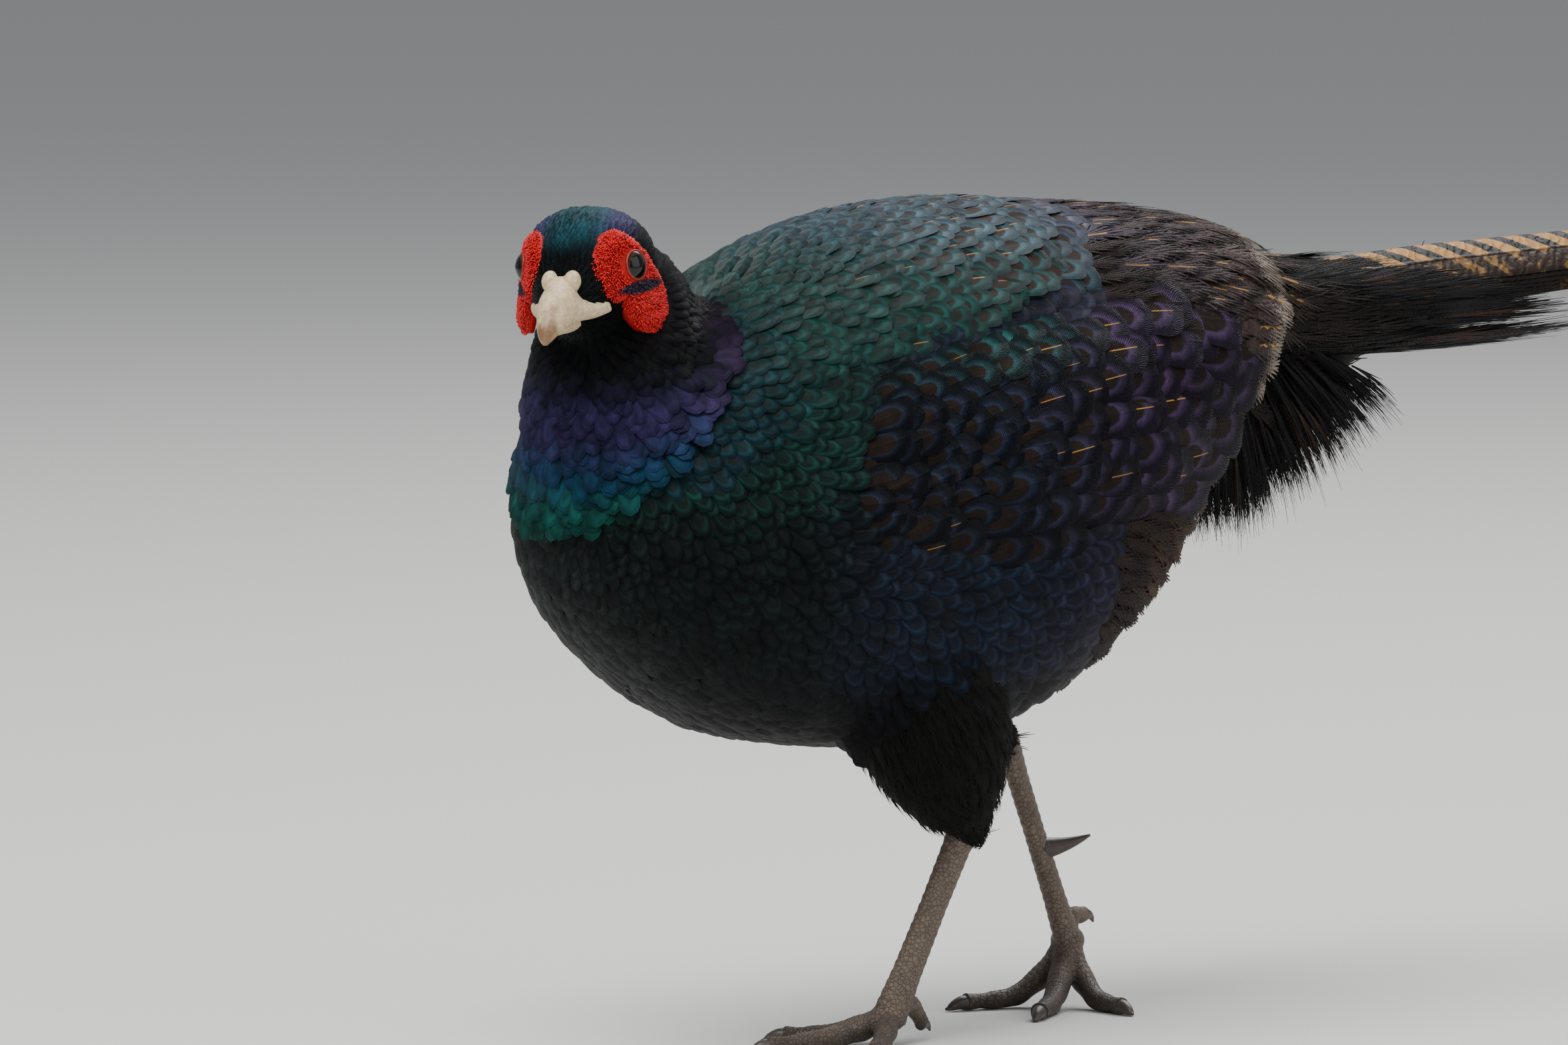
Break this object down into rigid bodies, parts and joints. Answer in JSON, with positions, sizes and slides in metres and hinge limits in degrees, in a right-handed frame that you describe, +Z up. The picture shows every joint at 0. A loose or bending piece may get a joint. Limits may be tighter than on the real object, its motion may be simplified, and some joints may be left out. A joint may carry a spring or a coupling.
{
  "type": "common pheasant",
  "caption": "Life-size dark-plumaged cock pheasant in mid-stride, head turned to its left, red face wattles, pale bill and long tapering tail.",
  "frame": {"origin": "on the floor under the middle of the whole bird's bounding box", "axes": "the bird walks towards -Y with its tail along +Y, its left side is +X, +Z is up"},
  "size_m": [0.1816, 0.7973, 0.3015],
  "materials": {
    "body": "overlapping dark green-blue feathers with a satin sheen",
    "neck": "iridescent blue-violet and green feathers, glossy at an angle",
    "head": "short dense dark feathers with a blue-green sheen",
    "wing": "dark scapulars and coverts with violet rims and pale shafts",
    "rump": "loose brown-violet plumes with pale shafts and grey-brown ends",
    "tail": "long dark brown tail feathers barred with black and buff",
    "tail_coverts": "loose hair-like black feathers",
    "thigh": "loose black-brown feathers",
    "wattle": "bare red skin covered in fine papillae, matt",
    "eye": "wet dark eye, glossy",
    "bill": "pale horn, satin",
    "leg": "grey-brown scaled skin, matt",
    "claw": "dark horn, satin"
  },
  "bodies": {
    "root": {"torso": "body", "neck": "neck", "head": "head", "bill_upper": "bill", "bill_lower": "bill", "wattle_left": "wattle", "wattle_right": "wattle", "eye_left": "eye", "eye_right": "eye", "wing_left": "wing", "wing_right": "wing", "rump": "rump", "tail": "tail", "tail_coverts": "tail_coverts", "thigh_left": "thigh", "thigh_right": "thigh", "shank_left": "leg", "shank_right": "leg", "foot_left": "leg", "foot_right": "leg", "spur_left": "claw", "spur_right": "claw", "claw_left_inner": "claw", "claw_left_middle": "claw", "claw_left_outer": "claw", "claw_left_hind": "claw", "claw_right_inner": "claw", "claw_right_middle": "claw", "claw_right_outer": "claw", "claw_right_hind": "claw"}
  },
  "joints": []
}
